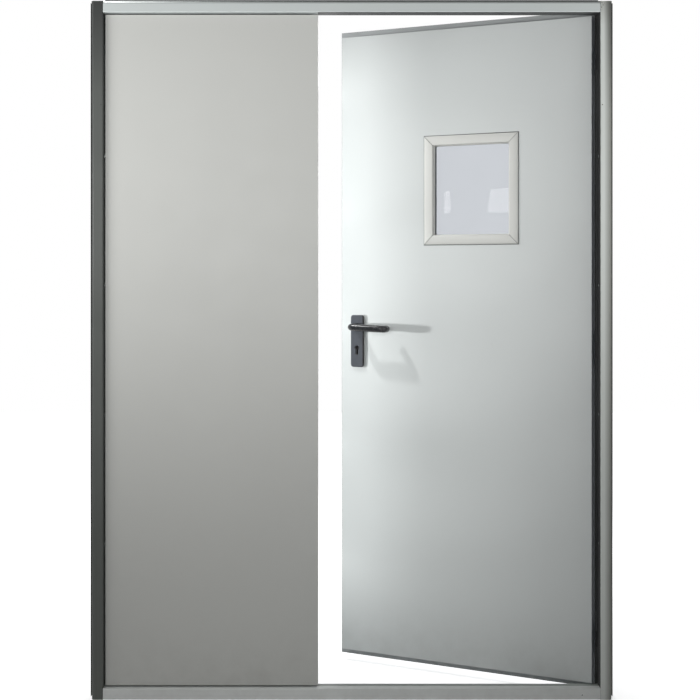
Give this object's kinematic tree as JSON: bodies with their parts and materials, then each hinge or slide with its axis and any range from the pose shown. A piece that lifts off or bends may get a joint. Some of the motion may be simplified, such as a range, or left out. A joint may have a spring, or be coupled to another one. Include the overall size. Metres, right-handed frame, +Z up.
{
  "type": "steel utility door",
  "caption": "Double-leaf steel utility door in a four-sided folded frame, one leaf ajar, with a small window, lever handle and lift-off barrel hinges.",
  "frame": {"origin": "middle of the sill's flat underside, at the frame's mid-depth", "axes": "+X to the right as seen from the push side, +Y through the wall towards the pull side, +Z up"},
  "size_m": [1.62, 0.4761, 2.16],
  "materials": {
    "frame_paint": "satin powder coat, light grey",
    "leaf_paint": "satin powder coat, light grey",
    "edge_channel": "zinc coated sheet",
    "paper_core": "paper honeycomb",
    "glazing_bars": "satin, off-white",
    "pane": "clear double glazing",
    "black_fittings": "satin black",
    "bright_steel": "zinc plated",
    "hinge_zinc": "zinc coated, pale blue grey",
    "seal": "black sealing strip"
  },
  "bodies": {
    "frame": {"jamb_left": "frame_paint", "jamb_right": "frame_paint", "head": "frame_paint", "sill": "frame_paint", "frame_gasket": "seal", "left_hinges_frame_side": "hinge_zinc", "right_hinges_frame_side": "hinge_zinc"},
    "active_leaf": {"active_push_skin": "leaf_paint", "active_pull_skin": "leaf_paint", "active_core": "paper_core", "active_bottom_channel": "edge_channel", "active_top_channel": "edge_channel", "window_pane": "pane", "window_frame_push": "glazing_bars", "window_frame_pull": "glazing_bars", "handle_plate_push": "black_fittings", "handle_plate_pull": "black_fittings", "lock_forend": "bright_steel", "latch": "bright_steel", "dead_bolt": "bright_steel", "lock_case": "bright_steel", "right_hinges_leaf_side": "hinge_zinc"},
    "inactive_leaf": {"inactive_push_skin": "leaf_paint", "inactive_pull_skin": "leaf_paint", "inactive_core": "paper_core", "inactive_bottom_channel": "edge_channel", "inactive_top_channel": "edge_channel", "strike_plate": "bright_steel", "flush_bolt_bottom": "bright_steel", "flush_bolt_top": "bright_steel", "meeting_gasket": "seal", "left_hinges_leaf_side": "hinge_zinc"},
    "lever": {"lever_push": "black_fittings", "lever_pull": "black_fittings", "spindle": "bright_steel"}
  },
  "joints": [
    {"name": "active_leaf_hinge", "type": "hinge", "parent": "frame", "child": "active_leaf", "pos_m": [0.7975, 0.035, 1.075], "axis": [0, 0, -1], "range_deg": [-25, 145]},
    {"name": "inactive_leaf_hinge", "type": "hinge", "parent": "frame", "child": "inactive_leaf", "pos_m": [-0.7975, 0.035, 1.075], "axis": [0, 0, 1], "range_deg": [0, 180]},
    {"name": "lever_turn", "type": "hinge", "parent": "active_leaf", "child": "lever", "pos_m": [0.03035, 0.3668, 1.133], "axis": [0.4226, 0.9063, 0], "range_deg": [0, 40], "stiffness_Nm_per_rad": 1, "springref_deg": -22.92}
  ]
}
